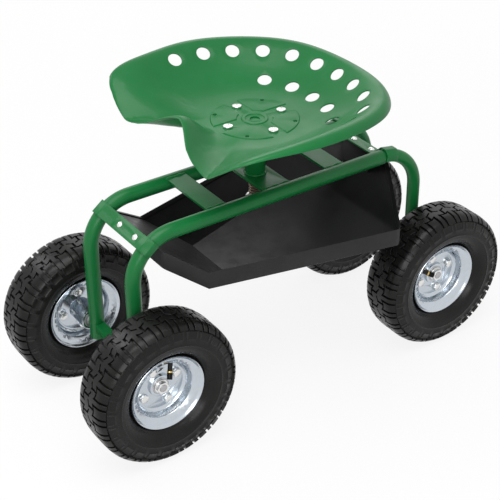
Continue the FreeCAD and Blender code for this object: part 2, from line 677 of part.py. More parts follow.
# Seat
# Crest of the pan's rim from the back, round the right side, to the pommel in front.
# Shares of: the length behind or ahead of the post, half the width, and the height of the sides.
PAN_RIM = [
    (1.0, 0.0, 0.77), (0.901, 0.473, 0.836), (0.602, 0.818, 0.885), (0.084, 0.99, 1.0),
    (-0.443, 1.0, 0.967), (-0.928, 0.911, 0.77), (-1.0, 0.66, 0.131),
    (-1.0, 0.537, 0.0), (-0.982, 0.291, 0.295), (-0.837, 0.0, 0.705),
]
LAST_STATION = len(PAN_RIM) - 1
# The walls climb as a power of the way out and level off at the crest.
DISH_POWER = 2.2
CREST_POWER = 9
# The deep roll of the sides gives way to the small lip of the front about this station.
ROLL_END = 4.2
ROLL_FADE = 0.45
POMMEL_SPREAD = 0.75
THIGH_STATION = 7
THIGH_SPREAD = 1.2


class Dish:
    """The top face of the pan: it rises from the flat middle to the rim, with a pommel in front."""

    def __init__(self):
        back, front = value("pan_back"), value("pan_front")
        half, side = value("pan_width / 2"), value("pan_side")
        right = [FreeCAD.Vector(a * (back if a > 0 else front), b * half, h * side) for a, b, h in PAN_RIM]
        self.rim = Part.BSplineCurve()
        self.rim.interpolate(Points=right, Parameters=[float(i) for i in range(len(right))],
                             InitialTangent=CROSSWISE * half / 2, FinalTangent=CROSSWISE * -half / 4,
                             Scale=False)
        self.flat = value("pan_flat")
        self.dip = value("thigh_dip")
        self.lip = value("pan_lip"), math.radians(value("pan_lip_turn"))
        self.roll = value("pan_roll"), math.radians(value("pan_roll_turn"))

    def edge(self, station):
        """A point of the crest; stations past either end of the right side are on the left."""
        folded = LAST_STATION - abs(LAST_STATION - abs(station))
        spot = self.rim.value(folded)
        if station < 0 or station > LAST_STATION:
            spot.y = -spot.y
        return spot, folded

    def point(self, station, along):
        """Along 0 is the edge of the flat middle, 1 is the crest of the rim and 2 is its rolled edge."""
        edge, folded = self.edge(station)
        reach = math.hypot(edge.x, edge.y)
        way = min(1.0, along)
        bowl = (CREST_POWER * way ** DISH_POWER - DISH_POWER * way ** CREST_POWER) / (CREST_POWER - DISH_POWER)
        horn = way * way * (3 - 2 * way)
        pommel = math.exp(-((folded - LAST_STATION) / POMMEL_SPREAD) ** 2)
        thigh = math.exp(-((folded - THIGH_STATION) / THIGH_SPREAD) ** 2)
        out = self.flat + (reach - self.flat) * way
        rise = edge.z * (bowl + pommel * (horn - bowl)) - self.dip * thigh * math.sin(math.pi * way)
        side = 1 / (1 + math.exp((folded - ROLL_END) / ROLL_FADE))
        radius, turn = (lip + side * (roll - lip) for lip, roll in zip(self.lip, self.roll))
        turn *= max(0.0, along - 1)
        out += radius * math.sin(turn)
        rise -= radius * (1 - math.cos(turn))
        return FreeCAD.Vector(edge.x / reach * out, edge.y / reach * out, rise)

    def normal(self, station, along):
        """Upward normal, from the slopes along and across the spokes; the flat middle stays level."""
        if along == 0:
            return UPRIGHT
        small = 0.01
        outward = self.point(station, min(2.0, along + small)) - self.point(station, max(0.0, along - small))
        across = self.point(station + small, along) - self.point(station - small, along)
        return outward.cross(across).normalize()

    def spot(self, inset, degrees):
        """A place on the dish and its normal, at an inset from the crest and an angle from straight back."""
        low, high = 0.0, float(LAST_STATION)
        for _ in range(40):
            middle = (low + high) / 2
            edge, _ = self.edge(middle)
            if math.degrees(math.atan2(edge.y, edge.x)) < degrees:
                low = middle
            else:
                high = middle
        reach = math.hypot(edge.x, edge.y)
        along = 1 - inset / (reach - self.flat)
        return self.point(middle, along), self.normal(middle, along)


def pan_sheet(dish, thickness):
    """The bare pan: the dished faces of both sides, sewn to the flat middle and to the rim."""
    stations = [i / 5 for i in range(5 * LAST_STATION + 1)]
    steps = [i / 14 for i in range(15)] + [1 + i / 6 for i in range(1, 7)]
    tops = [[dish.point(station, along) for along in steps] for station in stations]
    bottoms = [[dish.point(station, along) - dish.normal(station, along) * thickness for along in steps]
               for station in stations]
    faces = []
    rims = []
    for grid in (tops, bottoms):
        surface = Part.BSplineSurface()
        surface.interpolate(grid)
        _, _, flat, rim = surface.bounds()
        rims.append(surface.vIso(rim).toShape())
        right = surface.toShape()
        border = surface.vIso(flat).toShape()
        middle = Part.Face(Part.Wire([border, border.mirror(FreeCAD.Vector(), CROSSWISE)]))
        faces += [middle, right, right.mirror(FreeCAD.Vector(), CROSSWISE)]
    edge = Part.makeRuledSurface(*rims)
    shell = Part.makeShell(faces + [edge, edge.mirror(FreeCAD.Vector(), CROSSWISE)])
    shell.sewShape()
    solid = Part.makeSolid(Part.Shell(shell.Faces))
    if solid.Volume < 0:
        solid.reverse()
    return solid


def pressed_pads():
    """The raised ring round the middle hole and four raised pads with channels between them."""
    sunk, proud, slope = (value(name) for name in ("seat_sheet / 2", "pan_emboss", "pan_emboss_slope"))

    def disc(radius):
        return Part.makeCylinder(radius, sunk + proud, FreeCAD.Vector(0, 0, -sunk))

    ring = disc(value("pan_ring / 2")).cut(disc(value("pan_ring / 2 - pan_ring_width")))
    length, width = 2 * value("pan_flat") + 20, value("pan_channel")
    channels = [
        Part.makeBox(length, width, sunk + proud, FreeCAD.Vector(-length / 2, -width / 2, -sunk)),
        Part.makeBox(width, length, sunk + proud, FreeCAD.Vector(-width / 2, -length / 2, -sunk)),
    ]
    pads = disc(value("pan_flat - pan_emboss")).cut([disc(value("pan_ring / 2 + pan_ring_width"))] + channels)
    sloped = []
    for solid in [ring] + pads.Solids:
        tops = [edge for edge in solid.Edges if edge.BoundBox.ZMin > proud - slope / 2]
        sloped.append(solid.makeChamfer(slope, tops))
    return sloped


def seat_pan():
    """The pan pressed from one sheet, with its vents, bolt holes and pressed pads."""
    dish = Dish()
    pan = pan_sheet(dish, value("seat_sheet")).fuse(pressed_pads())
    tools = []
    for row in ("outer", "inner"):
        count = int(value(f"{row}_vents"))
        for i in range(count):
            degrees = (i - (count - 1) / 2) * value(f"{row}_vent_step")
            middle, normal = dish.spot(value(f"{row}_vent_inset"), abs(degrees))
            if degrees < 0:
                middle.y, normal.y = -middle.y, -normal.y
            tools.append(Part.makeCylinder(value("vent_hole / 2"), 24, middle - normal * 12, normal))
    tools.append(Part.makeCylinder(value("pan_hole / 2"), 20, FreeCAD.Vector(0, 0, -10)))
    for i in range(4):
        for circle, size, turn in (("seat_bolt_circle", "seat_bolt + 2 * screw_play", 0),
                                   ("spare_circle", "spare_hole", 45)):
            angle = math.radians(90 * i + turn)
            reach = value(circle) / 2
            foot = FreeCAD.Vector(reach * math.cos(angle), reach * math.sin(angle), -10)
            tools.append(Part.makeCylinder(value(size) / 2, 20, foot))
    item = doc.addObject("Part::Feature", "SeatPan")
    item.Shape = pan.cut(tools).removeSplitter()
    subpart(place(item, "seat_place", "0", "seat_height"), "seat_pan")


def seat_fittings():
    """The plate under the pan, its bolts, the screw post and the stop that ends its travel."""
    body = new_body("mount_plate")
    half = "mount_plate_side / sqrt(2)"
    sketch = new_sketch(body, "XY")
    draw_outline(sketch, [(half, "0", "mount_plate_corner"), ("0", half, "mount_plate_corner"),
                          (f"-{half}", "0", "mount_plate_corner"), ("0", f"-{half}", "mount_plate_corner")])
    reach = "seat_bolt_circle / 2"
    spots = [(reach, "0"), ("0", reach), (f"-{reach}", "0"), ("0", f"-{reach}")]
    for x, y in spots:
        draw_circle(sketch, x, y, "seat_bolt + 2 * screw_play")
    pad = body.newObject("PartDesign::Pad", "Plate")
    pad.Profile = sketch
    pad.setExpression("Length", bind("mount_plate_sheet"))
    subpart(place(body, "seat_place", "0", MOUNT_UNDERSIDE), "seat_mount_plate")
    bolts, nuts = screw_set("seat_bolt_head", "seat_bolt_height", "seat_bolt_crown", "seat_bolt",
                            "seat_height", MOUNT_UNDERSIDE, "seat_bolt_flats", "seat_nut", spots)
    subpart(place(bolts, "seat_place"), "seat_bolts")
    subpart(place(nuts, "seat_place"), "seat_nuts")
    foot = SCREW_FOOT
    post = less(cylinder("screw_diameter", f"{MOUNT_UNDERSIDE} - {foot}", "seat_place", "0", foot),
                cylinder("stop_bolt", "stop_bolt_length + 2", "seat_place", "0", foot))
    subpart(post, "screw_post")
    under = f"({foot} - stop_washer_sheet)"
    washer = less(cylinder("stop_washer", "stop_washer_sheet", "seat_place", "0", under),
                  cylinder("stop_bolt + 4 * screw_play", "stop_washer_sheet", "seat_place", "0", under))
    subpart(washer, "stop_washer")
    bolt = joined(hexagon("stop_bolt_flats", "stop_bolt_head", "seat_place", "0", f"{under} - stop_bolt_head"),
                  cylinder("stop_bolt", "stop_bolt_length + stop_washer_sheet", "seat_place", "0", under))
    subpart(bolt, "stop_bolt")


# Wheels, each drawn about its own Y axis with +Y away from the frame and the valve at +Z
def carcass(inset):
    """Half of the tyre's inside, from the crown to the bead, drawn in by an inset."""
    rise = "(tyre_diameter / 2 - bead_seat)"
    wide = "(tyre_width / 2 - tyre_wall)"
    return [
        (f"{CROWN} - tread_groove - tyre_wall - {inset}", f"tread_width / 2 - 6 - 0.5 * {inset}", "6"),
        (f"bead_seat + 0.8 * {rise} - 0.6 * {inset}", f"{wide} - 4 - 0.8 * {inset}", "10"),
        (f"bead_seat + 0.6 * {rise}", f"{wide} - {inset}", "15"),
        (f"bead_seat + 0.35 * {rise} + 0.4 * {inset}", f"{wide} - 5 - {inset}", "10"),
        (f"rim_flange + 1.7 + 0.7 * {inset}", f"rim_depth - 9 - 0.7 * {inset}"),
        (f"bead_seat + 7 + 0.4 * {inset}", f"rim_depth - 17.5 - {inset}"),
        (f"bead_seat + 0.6 + {inset}", f"rim_depth - 17.5 - {inset}"),
    ]


def tyre():
    """A hollow tyre with beads behind the rim lips, two grooves round the crown and lugs at the shoulders."""
    rise = "(tyre_diameter / 2 - bead_seat)"
    rib = "tread_width / 8"
    outside = [
        (CROWN, rib), (f"{CROWN} - tread_groove", rib),
        (f"{CROWN} - tread_groove", f"{rib} + groove_width"), (CROWN, f"{rib} + groove_width"),
        (CROWN, "tread_width / 2", "6"), (f"bead_seat + 0.86 * {rise}", "tyre_width / 2 - 4", "10"),
        (f"bead_seat + 0.6 * {rise}", "tyre_width / 2", "20"),
        (f"bead_seat + 0.35 * {rise}", "tyre_width / 2 - 5", "15"),
        ("rim_flange + 2.9", "rim_depth - 0.4"), ("rim_flange - 2.3", "rim_depth - 6.5"),
        ("bead_seat + 5", "rim_depth - 7.8"), ("bead_seat + 0.6", "rim_depth - 11"),
    ]
    body = turned("tyre", mirrored(outside + carcass("0")[::-1]))
    lug = f"({rib} + groove_width / 2)"
    cuts = []
    count = int(value("lug_count"))
    for i in range(count):
        for side, shift in ((1, 0.0), (-1, 0.5)):
            start = f"{lug}" if side > 0 else f"-({lug} + tyre_width / 2)"
            slot = block("groove_width", "tyre_width / 2", "3 * tread_groove",
                         "-groove_width / 2", start, f"{CROWN} - 0.8 * tread_groove")
            turned_slot = group(slot)
            turned_slot.Placement.Rotation = FreeCAD.Rotation(CROSSWISE, 360 * (i + shift) / count)
            cuts.append(turned_slot)
    return less(body, group(*cuts))


def rim_corners():
    """Half of the rim, from the hub out to the lip on the tyre's side and back on the other."""
    bore = "hub_diameter / 2 + axle_fit"
    return [
        (bore, "0"), ("rim_disc + 1", "0", "3"), ("bead_seat - 1.7", "5", "3"),
        ("bead_seat", "rim_depth - 10.4", "3"), ("bead_seat + 4.5", "rim_depth - 7"),
        ("rim_flange - 3.3", "rim_depth - 5.7", "4"), ("rim_flange + 1.2", "rim_depth - 0.8"),
        ("rim_flange", "rim_depth + 1"), ("rim_flange - 4.3", "rim_depth - 3.5", "3"),
        ("bead_seat + 3.5", "rim_depth - 5"), ("bead_seat - 2", "rim_depth - 9", "4"),
        ("bead_seat - 3.5", "6", "3"), ("rim_disc", "rim_sheet", "3"), (bore, "rim_sheet"),
    ]


def bolt_spots():
    """The four rim bolts, midway between the valve and the next quarter."""
    reach = "rim_bolt_circle / 2 / sqrt(2)"
    return [(reach, reach), (f"-{reach}", reach), (f"-{reach}", f"-{reach}"), (reach, f"-{reach}")]


def wheel_pieces():
    """Tyre, tube, two pressed rim halves, hub, bearings, bolts and valve cap of one wheel."""
    pieces = {"tyre": tyre()}
    stem = ("0", "5", "bead_seat + 3", FORE_AND_AFT, "180 + valve_tilt")
    ring = turned("tube", mirrored(carcass("0.6")), mirrored(carcass("2.6")))
    pieces["inner_tube"] = joined(ring, cylinder("valve_stem", "valve_length", *stem))
    cap_y = "5 + valve_length * sin(valve_tilt)"
    cap_z = "bead_seat + 3 - valve_length * cos(valve_tilt)"
    pieces["valve_cap"] = cylinder("valve_cap", "valve_cap_length", "0", cap_y, cap_z,
                                   FORE_AND_AFT, "180 + valve_tilt")
    shank = "rim_bolt + 2 * screw_play"
    for half, sign in (("outer", "1"), ("inner", "-1")):
        corners = [(c[0], f"{sign} * ({c[1]})", *c[2:]) for c in rim_corners()]
        dished = drill(turned("rim", corners), "XZ", [(u, w, shank) for u, w in bolt_spots()])
        if half == "outer":
            dished = less(dished, cylinder("valve_stem + 4 * screw_play", "valve_length", *stem))
        pieces[f"rim_{half}"] = dished
    tube = "hub_diameter / 2"
    race = "bearing_diameter / 2"
    flange = "-rim_sheet"
    hub = turned("hub", [
        (tube, "hub_outboard"), (tube, flange), ("hub_flange", flange),
        ("hub_flange", f"{flange} - hub_flange_sheet"), (tube, f"{flange} - hub_flange_sheet"),
        (tube, "-hub_inboard"), (race, "-hub_inboard"), (race, "bearing_width - hub_inboard"),
        (f"{race} - 3", "bearing_width - hub_inboard"), (f"{race} - 3", "hub_outboard - bearing_width"),
        (race, "hub_outboard - bearing_width"), (race, "hub_outboard"),
    ])
    pieces["hub"] = drill(hub, "XZ", [(u, w, shank) for u, w in bolt_spots()])
    rings = []
    for start in ("-hub_inboard", "hub_outboard - bearing_width"):
        end = f"{start} + bearing_width"
        rings.append(less(lying("bearing_diameter", "0", "0", start, end),
                          lying("axle_diameter + 2 * axle_fit", "0", "0", start, end)))
    pieces["bearings"] = group(*rings)
    bolts = []
    for u, w in bolt_spots():
        back = "(-rim_sheet - hub_flange_sheet)"
        nut = hexagon("rim_bolt_flats", "rim_nut", u, f"{back} - rim_nut", w, FORE_AND_AFT, "-90")
        head = hexagon("rim_bolt_flats", "rim_bolt_head", u, "rim_sheet", w, FORE_AND_AFT, "-90")
        bolts.append(joined(nut, head, lying("rim_bolt", u, w, f"{back} - rim_nut - 2", "rim_sheet")))
    pieces["rim_bolts"] = group(*bolts)
    return pieces


def wheel(name, pieces, x, side, turn_angle):
    """One wheel at its corner of the frame, turned so far from the valve being uppermost."""
    spin = FreeCAD.Rotation(CROSSWISE, turn_angle)
    facing = FreeCAD.Rotation(UPRIGHT, 0 if side > 0 else 180)
    for piece, item in pieces.items():
        copy = place(group(item), f"{x} * wheel_base / 2", f"{side} * wheel_track / 2", AXLE_HEIGHT)
        copy.Placement = FreeCAD.Placement(FreeCAD.Vector(), facing.multiply(spin))
        subpart(copy, f"{name}_{piece}")


for side_name, side_sign in (("left", -1), ("right", 1)):
    side_rail(side_name, side_sign)
    rear_leg(side_name, side_sign)
front_strap = Strap("front", -1, "rail_tube")
rear_strap = Strap("rear", 1, "leg_tube")
end_strap(front_strap)
end_strap(rear_strap)
frame_tops()
axle("front", -1, "rail_tube")
axle("rear", 1, "leg_tube")
axle_fittings()
tool_tray(front_strap, rear_strap)
tray_screws(front_strap, rear_strap)
seat_pan()
seat_fittings()
wheel_set = wheel_pieces()
wheel("front_left", wheel_set, -1, -1, -22)
wheel("front_right", wheel_set, -1, 1, 40)
wheel("rear_left", wheel_set, 1, -1, 60)
wheel("rear_right", wheel_set, 1, 1, -75)
doc.recompute()

faults = [item.Name for item in doc.Objects if {"Invalid", "Error"} & set(item.State)]
bad = [item.Label for item in SUBPARTS if item.Shape.isNull() or not item.Shape.isValid()]
if faults or bad:
    raise RuntimeError(f"failed objects {faults}, bad shapes {bad}")
os.makedirs("parts", exist_ok=True)
for item in SUBPARTS:
    item.Shape.exportStep(os.path.join("parts", f"{item.Label}.step"))
    print(item.Label, len(item.Shape.Solids), round(item.Shape.Volume), item.Shape.BoundBox)
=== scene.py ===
# %% [markdown]
# # A rolling garden seat
# A pressed steel pan on a screw post, on a bent tube frame with a moulded tool tray and four pneumatic wheels.
# Metres; +Z is up, -X is the front and the origin is on the ground between the wheels.

import json
import math

import bpy
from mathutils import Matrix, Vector


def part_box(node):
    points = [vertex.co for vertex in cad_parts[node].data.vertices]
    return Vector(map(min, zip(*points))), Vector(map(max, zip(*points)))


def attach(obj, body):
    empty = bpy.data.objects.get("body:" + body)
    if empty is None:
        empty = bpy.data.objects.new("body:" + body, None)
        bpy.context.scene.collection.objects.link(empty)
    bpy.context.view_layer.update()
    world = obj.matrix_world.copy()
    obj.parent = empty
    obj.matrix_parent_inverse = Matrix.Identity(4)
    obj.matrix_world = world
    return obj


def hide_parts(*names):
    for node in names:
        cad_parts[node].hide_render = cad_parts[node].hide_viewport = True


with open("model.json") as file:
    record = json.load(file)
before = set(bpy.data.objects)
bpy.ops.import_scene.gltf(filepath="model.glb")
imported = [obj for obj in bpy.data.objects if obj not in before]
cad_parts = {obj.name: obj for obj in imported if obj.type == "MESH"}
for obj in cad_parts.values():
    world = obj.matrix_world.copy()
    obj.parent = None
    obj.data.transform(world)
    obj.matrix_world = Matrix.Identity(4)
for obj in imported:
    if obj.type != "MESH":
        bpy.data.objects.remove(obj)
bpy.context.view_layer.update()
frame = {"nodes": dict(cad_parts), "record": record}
nodes = frame["nodes"]

# %% [markdown]
# ## The photograph's camera
# A camera is a place, a direction and a lens. It could be turned by eye until the picture looks right, but small
# errors then hide in the shapes. These numbers came from matching the wheels and rails to the photograph. The lens is
# long and the picture is square, so the sensor's width sets the view both ways.

# %% Camera
CAMERA_PLACE = Vector((-1.12953, -1.64123, 1.45469))
CAMERA_BACK = Vector((-0.4793, -0.6963, 0.5344))
CAMERA_ROLL = math.radians(-0.26)
LENS_MM = 98.99
SENSOR_MM = 36.0
LENS_SHIFT = (-0.01728, 0.01072)

bpy.ops.object.select_all(action="DESELECT")
bpy.ops.object.camera_add(location=CAMERA_PLACE)
camera = bpy.context.object
camera.rotation_euler = CAMERA_BACK.to_track_quat("Z", "Y").to_euler()
camera.rotation_euler.rotate_axis("Z", CAMERA_ROLL)
camera.data.lens = LENS_MM
camera.data.sensor_width = SENSOR_MM
camera.data.shift_x, camera.data.shift_y = LENS_SHIFT
bpy.context.scene.camera = camera
print("camera at", [round(c, 3) for c in camera.location])

# %% [markdown]
# ## Finishes from nodes
# A finish is a small graph of nodes on Object coordinates, so a pattern keeps its real size on every piece. The nodes
# could be wired by hand in the Shader Editor. The same few steps come back in every finish, so here helpers take
# them: add a node, feed a socket, and turn a noise into a number, a colour or a bump.


# %% Helpers for the finishes
def finish_graph(name, colour, roughness, metallic=0.0):
    """A new finish with its shader and the object's own coordinates."""
    finish = bpy.data.materials.new(name)
    finish.use_nodes = True
    shader = finish.node_tree.nodes["Principled BSDF"]
    shader.inputs["Base Color"].default_value = (*colour, 1)
    shader.inputs["Roughness"].default_value = roughness
    shader.inputs["Metallic"].default_value = metallic
    return finish, shader, add_node(finish, "TexCoord").outputs["Object"]


def add_node(owner, kind, inputs=None, **settings):
    """Add a node to a finish or a world, set its plain settings, and fill or join its inputs."""
    node = owner.node_tree.nodes.new("ShaderNode" + kind)
    for key, setting in settings.items():
        setattr(node, key, setting)
    for key, source in (inputs or {}).items():
        socket = node.inputs[key]
        if isinstance(source, bpy.types.NodeSocket):
            owner.node_tree.links.new(source, socket)
        else:
            socket.default_value = source
    return node


def join(owner, source, node, socket):
    """Feed a socket of a node that is already there."""
    owner.node_tree.links.new(source, node.inputs[socket])


def grain(finish, place, scale, detail=3.0, roughness=0.55):
    """A noise of about this many lumps to the metre."""
    inputs = {"Vector": place, "Scale": scale, "Detail": detail, "Roughness": roughness}
    return add_node(finish, "TexNoise", inputs).outputs["Fac"]


def spread(finish, factor, low, high, start=0.3, end=0.7):
    """Turn a factor that runs from start to end into a number between low and high."""
    inputs = {"Value": factor, "From Min": start, "From Max": end, "To Min": low, "To Max": high}
    return add_node(finish, "MapRange", inputs).outputs["Result"]


def tint(finish, factor, first, second):
    """Mix two colours by a factor; either can be another node's output."""
    ends = [colour if isinstance(colour, bpy.types.NodeSocket) else (*colour, 1) for colour in (first, second)]
    mix = add_node(finish, "Mix", {"Factor": factor, 6: ends[0], 7: ends[1]}, data_type="RGBA")
    return mix.outputs[2]


def bumped(finish, height, distance, strength):
    """A bump of this depth in metres."""
    inputs = {"Height": height, "Distance": distance, "Strength": strength}
    return add_node(finish, "Bump", inputs).outputs["Normal"]


# %% [markdown]
# ## Floor
# A studio floor is a sweep of white paper. A plain white plane would do, but lamps never light it evenly and it would
# look grey. So part of what is seen of this paper is its own glow, and the rest is lit by the lamps, which keeps a
# soft shadow under the wheels. Away from the seat the glow takes over, and the paper meets the white all round
# without a line. The glow is there only for rays that see the paper directly or in a mirror, so it lights nothing.

# %% Floor
FLOOR_WIDTH = 40
PAPER_COLOUR = (0.86, 0.86, 0.86)
PAPER_GLOW = 0.86
SHADE_REACH = (0.7, 2.2)


def seen_share(owner, most, least=0.0):
    """A number for rays that see the studio directly, in metal or through glass, and a lesser one for the rest."""
    path = add_node(owner, "LightPath").outputs
    seen = path["Is Camera Ray"]
    for ray in ("Is Glossy Ray", "Is Transmission Ray"):
        seen = add_node(owner, "Math", {0: seen, 1: path[ray]}, operation="MAXIMUM").outputs[0]
    return add_node(owner, "MapRange", {"Value": seen, "To Min": least, "To Max": most}).outputs["Result"]


bpy.ops.mesh.primitive_plane_add(size=FLOOR_WIDTH)
floor = bpy.context.object
floor.name = "studio_floor"
paper, shader, place = finish_graph("studio_paper", PAPER_COLOUR, roughness=0.9)
distance = add_node(paper, "VectorMath", {0: place}, operation="LENGTH").outputs["Value"]
fade = spread(paper, distance, PAPER_GLOW, 1.0, *SHADE_REACH)
own_glow = add_node(paper, "Math", {0: seen_share(paper, 1.0), 1: fade}, operation="MULTIPLY").outputs[0]
white = add_node(paper, "Emission").outputs[0]
blend = add_node(paper, "MixShader", {0: own_glow, 1: shader.outputs[0], 2: white}).outputs[0]
join(paper, blend, paper.node_tree.nodes["Material Output"], "Surface")
floor.data.materials.append(paper)
print("laid", floor.name, "with", paper.name)

# %% [markdown]
# ## Light
# The photograph has soft shadows and wide pale sheens, which come from large lamps; a sun or a small lamp would leave
# hard edges. A large soft lamp hangs overhead and weaker ones stand at the sides. The upward faces carry the widest
# sheen, so a broad lamp stands behind the seat, where those faces mirror it. The world is white to the eye and
# dimmer as a light, so that the lamps still shape the seat.

# %% Lamps
SEAT_MIDDLE = Vector((0.0, 0.0, 0.35))
LAMPS = {  # place, width, watts
    "top_lamp": ((-0.6, -0.5, 2.9), 2.0, 52),
    "back_lamp": ((1.5, 2.2, 1.8), 1.9, 12),
    "rim_lamp": ((-1.2, 2.2, 2.2), 1.0, 15),
    "front_lamp": ((-1.9, -2.2, 1.5), 1.6, 34),
}
for name, (spot, width, watts) in LAMPS.items():
    bpy.ops.object.light_add(type="AREA", location=spot)
    lamp = bpy.context.object
    lamp.name = name
    lamp.data.size = width
    lamp.data.energy = watts
    lamp.rotation_euler = (Vector(spot) - SEAT_MIDDLE).to_track_quat("Z", "Y").to_euler()
print("lamps:", list(LAMPS))

# %% World and view
WORLD_LIGHT = 0.42
world = bpy.data.worlds.new("studio_glow")
bpy.context.scene.world = world
world.use_nodes = True
glow = world.node_tree.nodes["Background"]
glow.inputs["Color"].default_value = (1.0, 1.0, 1.0, 1)
join(world, seen_share(world, 1.0, WORLD_LIGHT), glow, "Strength")
bpy.context.scene.view_settings.view_transform = "Standard"
print("the world lights the seat at", WORLD_LIGHT)

# %% [markdown]
# ## Green gloss paint
# Sprayed enamel on steel has a faint orange-peel ripple, small shifts of colour where the coat is thinner, and
# a breath of dust. One flat colour would look like plastic, and a painted picture would have to be unwrapped onto
# every tube. Noises at different scales give all three with no unwrapping, and a clear coat gives the gloss.

# %% Green paint
GREEN = (0.006, 0.150, 0.036)
DEEP_GREEN = (0.005, 0.122, 0.028)
DUSTY_GREEN = (0.022, 0.155, 0.055)
green_paint, shader, place = finish_graph("green_gloss_paint", GREEN, roughness=0.34)
thinner = spread(green_paint, grain(green_paint, place, scale=6.0), 0.0, 1.0)
coat = tint(green_paint, thinner, GREEN, DEEP_GREEN)
specks = grain(green_paint, place, scale=34.0, detail=6.0, roughness=0.65)
dust = spread(green_paint, specks, 0.0, 0.25, start=0.5, end=0.8)
join(green_paint, tint(green_paint, dust, coat, DUSTY_GREEN), shader, "Base Color")
wiped = grain(green_paint, place, scale=30.0, detail=5.0)
join(green_paint, spread(green_paint, wiped, 0.32, 0.44), shader, "Roughness")
peel = grain(green_paint, place, scale=460.0, detail=2.0)
join(green_paint, bumped(green_paint, peel, distance=0.0001, strength=0.4), shader, "Normal")
shader.inputs["Specular IOR Level"].default_value = 0.2
shader.inputs["Coat Weight"].default_value = 0.08
shader.inputs["Coat Roughness"].default_value = 0.12
print("made", green_paint.name)

# %% [markdown]
# ## Zinc plate
# Bright zinc is a pale blue-white metal. Its plating shows as faint crystals. A noise would give clouds, so a Voronoi
# pattern of small cells shifts the colour very little instead, and fine scratches are drawn out across the axle, the
# way the rims spin. Other plated and plain metals differ only in colour, dullness and the size of the crystals, so
# one function makes them all.

# %% Zinc, for rims, hubs and fasteners
AGEING = (0.95, 0.94, 0.9)
SCRATCH_STRETCH = (1.0, 9.0, 1.0)


def zinc_finish(name, colour, roughness, cells):
    """A plated steel with this many crystals to the metre."""
    finish, shader, place = finish_graph(name, colour, roughness, metallic=1.0)
    spangle = add_node(finish, "TexVoronoi", {"Vector": place, "Scale": cells}).outputs["Color"]
    level = add_node(finish, "RGBToBW", {"Color": spangle}).outputs["Val"]
    aged = tuple(c * s for c, s in zip(colour, AGEING))
    join(finish, tint(finish, spread(finish, level, 0.0, 0.35), colour, aged), shader, "Base Color")
    smear = grain(finish, place, scale=25.0, detail=5.0)
    join(finish, spread(finish, smear, roughness * 0.9, roughness * 1.15), shader, "Roughness")
    drawn_out = add_node(finish, "Mapping", {"Vector": place, "Scale": SCRATCH_STRETCH}).outputs["Vector"]
    scratch = grain(finish, drawn_out, scale=500.0)
    join(finish, bumped(finish, scratch, distance=0.00001, strength=0.1), shader, "Normal")
    return finish


rim_zinc = zinc_finish("bright_zinc", (0.54, 0.585, 0.635), roughness=0.2, cells=120.0)
bolt_zinc = zinc_finish("bolt_zinc", (0.78, 0.78, 0.77), roughness=0.26, cells=500.0)
axle_steel = zinc_finish("plain_steel", (0.46, 0.46, 0.47), roughness=0.32, cells=300.0)
screw_steel = zinc_finish("oiled_steel", (0.17, 0.13, 0.10), roughness=0.38, cells=220.0)
brass = zinc_finish("valve_brass", (0.62, 0.45, 0.16), roughness=0.28, cells=600.0)
print("made", [m.name for m in (rim_zinc, bolt_zinc, axle_steel, screw_steel, brass)])

# %% [markdown]
# ## Tyre rubber and black plastic
# Rubber is near black with a grey bloom and a fine skin. The moulded tray is black too: smooth inside and eroded
# to a leathery grain outside. Its inside is painted darker as shade, where the seat and the frame keep the light off,
# and its outer sides are painted paler, partly for their grain and partly as painted light. Plain black would show no
# form at all. What shows on a dark piece is how its skin breaks up the highlight, so each gets a skin of its own.

# %% Rubber and plastic


def dark_finish(name, colour, bloom, share, gloss, roughness, skin_scale, skin_depth):
    """A near-black finish with a paler bloom in patches and a fine skin."""
    finish, shader, place = finish_graph(name, colour, roughness)
    shader.inputs["Specular IOR Level"].default_value = gloss
    cloud = grain(finish, place, scale=16.0, detail=6.0, roughness=0.6)
    patches = spread(finish, cloud, 0.0, share, start=0.42, end=0.75)
    join(finish, tint(finish, patches, colour, bloom), shader, "Base Color")
    dull = grain(finish, place, scale=50.0, detail=4.0)
    join(finish, spread(finish, dull, roughness - 0.06, roughness + 0.08), shader, "Roughness")
    cells = add_node(finish, "TexVoronoi", {"Vector": place, "Scale": skin_scale}).outputs["Distance"]
    join(finish, bumped(finish, cells, skin_depth, strength=0.3), shader, "Normal")
    return finish


rubber = dark_finish("tyre_rubber", (0.006, 0.0058, 0.0056), bloom=(0.015, 0.0145, 0.0135), share=0.5,
                     gloss=0.2, roughness=0.27, skin_scale=900.0, skin_depth=0.00012)
# for the tray's inside and the valve caps; on the tray this near-black is partly painted shade under the seat and
# frame
plastic = dark_finish("black_moulded_plastic", (0.0045, 0.0045, 0.0048), bloom=(0.008, 0.008, 0.008), share=0.6,
                      gloss=0.11, roughness=0.34, skin_scale=650.0, skin_depth=0.00012)
# paler than the inside: partly the outer sides' real grain and partly painted light
lit_grained = dark_finish("lit_grained_plastic", (0.024, 0.024, 0.024), bloom=(0.034, 0.034, 0.033), share=0.6,
                      gloss=0.14, roughness=0.5, skin_scale=420.0, skin_depth=0.0004)
print("made", rubber.name, plastic.name, lit_grained.name)

# %% [markdown]
# ## Carrying the CAD pieces over
# The frame is tube, strap and plate, cut, bent and painted, and the CAD part already has its shapes. They could be
# modelled again, but a copy keeps every size. A CAD mesh is loose triangles with knife-sharp edges, so each node is
# copied, its corners are merged and its edges softened with a small bevel, which catches the light as a real edge
# does. The copy then stands for the node and moves with its body.

# %% Copy and soften a CAD piece
BODY_OF = {node: body for body, members in frame["record"]["behaviour"]["bodies"].items() for node in members}
SMOOTH_ANGLE = math.radians(34)
FLAT_ANGLE = math.radians(0.5)


def only(piece):
    """Make one piece the only one selected."""
    bpy.ops.object.select_all(action="DESELECT")
    piece.select_set(True)
    bpy.context.view_layer.objects.active = piece


